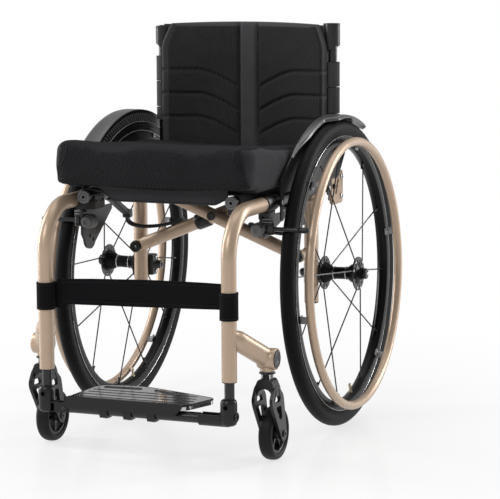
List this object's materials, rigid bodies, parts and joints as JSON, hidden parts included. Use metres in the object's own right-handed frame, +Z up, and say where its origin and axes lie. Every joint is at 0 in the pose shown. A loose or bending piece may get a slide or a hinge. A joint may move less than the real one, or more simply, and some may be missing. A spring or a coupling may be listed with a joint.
{
  "type": "active wheelchair",
  "caption": "Folding active wheelchair with a cross-brace frame, spoked cambered rear wheels with push rings, swivelling front casters, seat cushion, padded backrest and flip-up footplate.",
  "frame": {"origin": "on the floor, under the middle of the chair's bounding box", "axes": "+Z up, -Y the way the chair faces, +X towards the occupant's left"},
  "size_m": [0.5862, 0.7698, 0.786],
  "materials": {
    "champagne_paint": "satin",
    "black_anodised": "satin anodised black",
    "black_plastic": "moulded",
    "grey_plastic": "moulded",
    "guard_grey": "satin",
    "tyre_rubber": "dull",
    "bright_steel": "bright",
    "cushion_fabric": "woven",
    "back_fabric": "mesh",
    "sling_fabric": "woven",
    "webbing": "webbing"
  },
  "bodies": {
    "right_frame": {"right_front_tube": "champagne_paint", "right_side_rail": "black_anodised", "right_axle_tube": "champagne_paint", "right_axle_receiver": "black_anodised", "right_axle": "bright_steel", "right_caster_arm": "champagne_paint", "right_caster_arm_cap": "grey_plastic", "right_leg_elbow": "black_anodised", "right_back_bracket": "champagne_paint", "right_back_cane": "black_anodised", "right_side_guard": "guard_grey", "right_lock_plate": "black_plastic", "right_front_saddle": "black_plastic", "right_rear_saddle": "black_plastic", "right_stay_strap": "webbing", "cushion": "cushion_fabric", "seat_sling": "sling_fabric", "back_pad": "back_fabric", "back_shell": "back_fabric", "calf_strap": "webbing"},
    "rear_brace": {"right_brace": "champagne_paint", "left_seat_rail": "black_anodised", "brace_pivot_bolt": "black_anodised"},
    "front_brace": {"left_brace": "champagne_paint", "right_seat_rail": "black_anodised"},
    "left_frame": {"left_front_tube": "champagne_paint", "left_side_rail": "black_anodised", "left_axle_tube": "champagne_paint", "left_axle_receiver": "black_anodised", "left_axle": "bright_steel", "left_caster_arm": "champagne_paint", "left_caster_arm_cap": "grey_plastic", "left_leg_elbow": "black_anodised", "left_back_bracket": "champagne_paint", "left_back_cane": "black_anodised", "left_side_guard": "guard_grey", "left_lock_plate": "black_plastic", "left_front_saddle": "black_plastic", "left_rear_saddle": "black_plastic", "left_stay_strap": "webbing"},
    "footrest": {"footrest_bar": "black_anodised", "footplate": "black_plastic"},
    "right_wheel": {"right_wheel_rim": "black_anodised", "right_wheel_hub": "black_anodised", "right_tyre": "tyre_rubber", "right_handrim": "champagne_paint"},
    "right_fork": {"right_caster_fork": "black_plastic"},
    "right_caster": {"right_caster_hub": "black_plastic", "right_caster_tyre": "tyre_rubber"},
    "right_lever": {"right_lock_lever": "black_plastic"},
    "right_button": {"right_axle_button": "bright_steel"},
    "left_wheel": {"left_wheel_rim": "black_anodised", "left_wheel_hub": "black_anodised", "left_tyre": "tyre_rubber", "left_handrim": "champagne_paint"},
    "left_fork": {"left_caster_fork": "black_plastic"},
    "left_caster": {"left_caster_hub": "black_plastic", "left_caster_tyre": "tyre_rubber"},
    "left_lever": {"left_lock_lever": "black_plastic"},
    "left_button": {"left_axle_button": "bright_steel"}
  },
  "joints": [
    {"name": "fold", "type": "hinge", "parent": "right_frame", "child": "rear_brace", "pos_m": [-0.179, 0.02794, 0.342], "axis": [0, -1, 0], "range_deg": [0, 52.14], "deforming": ["cushion", "seat_sling", "back_pad", "back_shell", "calf_strap", "right_stay_strap"]},
    {"name": "brace_centre", "type": "hinge", "parent": "rear_brace", "child": "front_brace", "pos_m": [0, 0.01444, 0.41382], "axis": [0, -1, 0], "range_deg": [-104.28, 0]},
    {"name": "left_side", "type": "hinge", "parent": "front_brace", "child": "left_frame", "pos_m": [0.179, 0.00094, 0.342], "axis": [0, -1, 0], "range_deg": [0, 52.14], "deforming": ["left_stay_strap"]},
    {"name": "footrest_flip", "type": "hinge", "parent": "right_frame", "child": "footrest", "pos_m": [-0.146, -0.36806, 0.0925], "axis": [0, -1, 0], "range_deg": [0, 83.43]},
    {"name": "right_wheel_spin", "type": "hinge", "parent": "right_frame", "child": "right_wheel", "pos_m": [-0.233, 0.08494, 0.2999], "axis": [-0.9997, 0, 0.0262], "continuous": true},
    {"name": "right_caster_swivel", "type": "hinge", "parent": "right_frame", "child": "right_fork", "pos_m": [-0.228, -0.29006, 0.158], "axis": [0, 0, 1], "continuous": true},
    {"name": "right_caster_spin", "type": "hinge", "parent": "right_fork", "child": "right_caster", "pos_m": [-0.228, -0.25906, 0.05], "axis": [1, 0, 0], "continuous": true},
    {"name": "right_lock", "type": "hinge", "parent": "right_frame", "child": "right_lever", "pos_m": [-0.1975, -0.19647, 0.42], "axis": [0, 0, 1], "range_deg": [0, 80]},
    {"name": "right_axle_button", "type": "slide", "parent": "right_frame", "child": "right_button", "axis": [0.9997, 0, -0.0262], "range_m": [0, 0.0025], "stiffness_N_per_m": 400},
    {"name": "left_wheel_spin", "type": "hinge", "parent": "left_frame", "child": "left_wheel", "pos_m": [0.233, 0.08494, 0.2999], "axis": [0.9997, 0, 0.0262], "continuous": true},
    {"name": "left_caster_swivel", "type": "hinge", "parent": "left_frame", "child": "left_fork", "pos_m": [0.228, -0.29006, 0.158], "axis": [0, 0, 1], "continuous": true},
    {"name": "left_caster_spin", "type": "hinge", "parent": "left_fork", "child": "left_caster", "pos_m": [0.228, -0.25906, 0.05], "axis": [1, 0, 0], "continuous": true},
    {"name": "left_lock", "type": "hinge", "parent": "left_frame", "child": "left_lever", "pos_m": [0.1975, -0.19647, 0.42], "axis": [0, 0, -1], "range_deg": [0, 80]},
    {"name": "left_axle_button", "type": "slide", "parent": "left_frame", "child": "left_button", "axis": [-0.9997, 0, -0.0262], "range_m": [0, 0.0025], "stiffness_N_per_m": 400}
  ],
  "couplings": [
    {"joint": "brace_centre", "follows": "fold", "ratio": -2},
    {"joint": "left_side", "follows": "fold", "ratio": 1},
    {"joint": "footrest_flip", "follows": "fold", "ratio": 1.6}
  ]
}
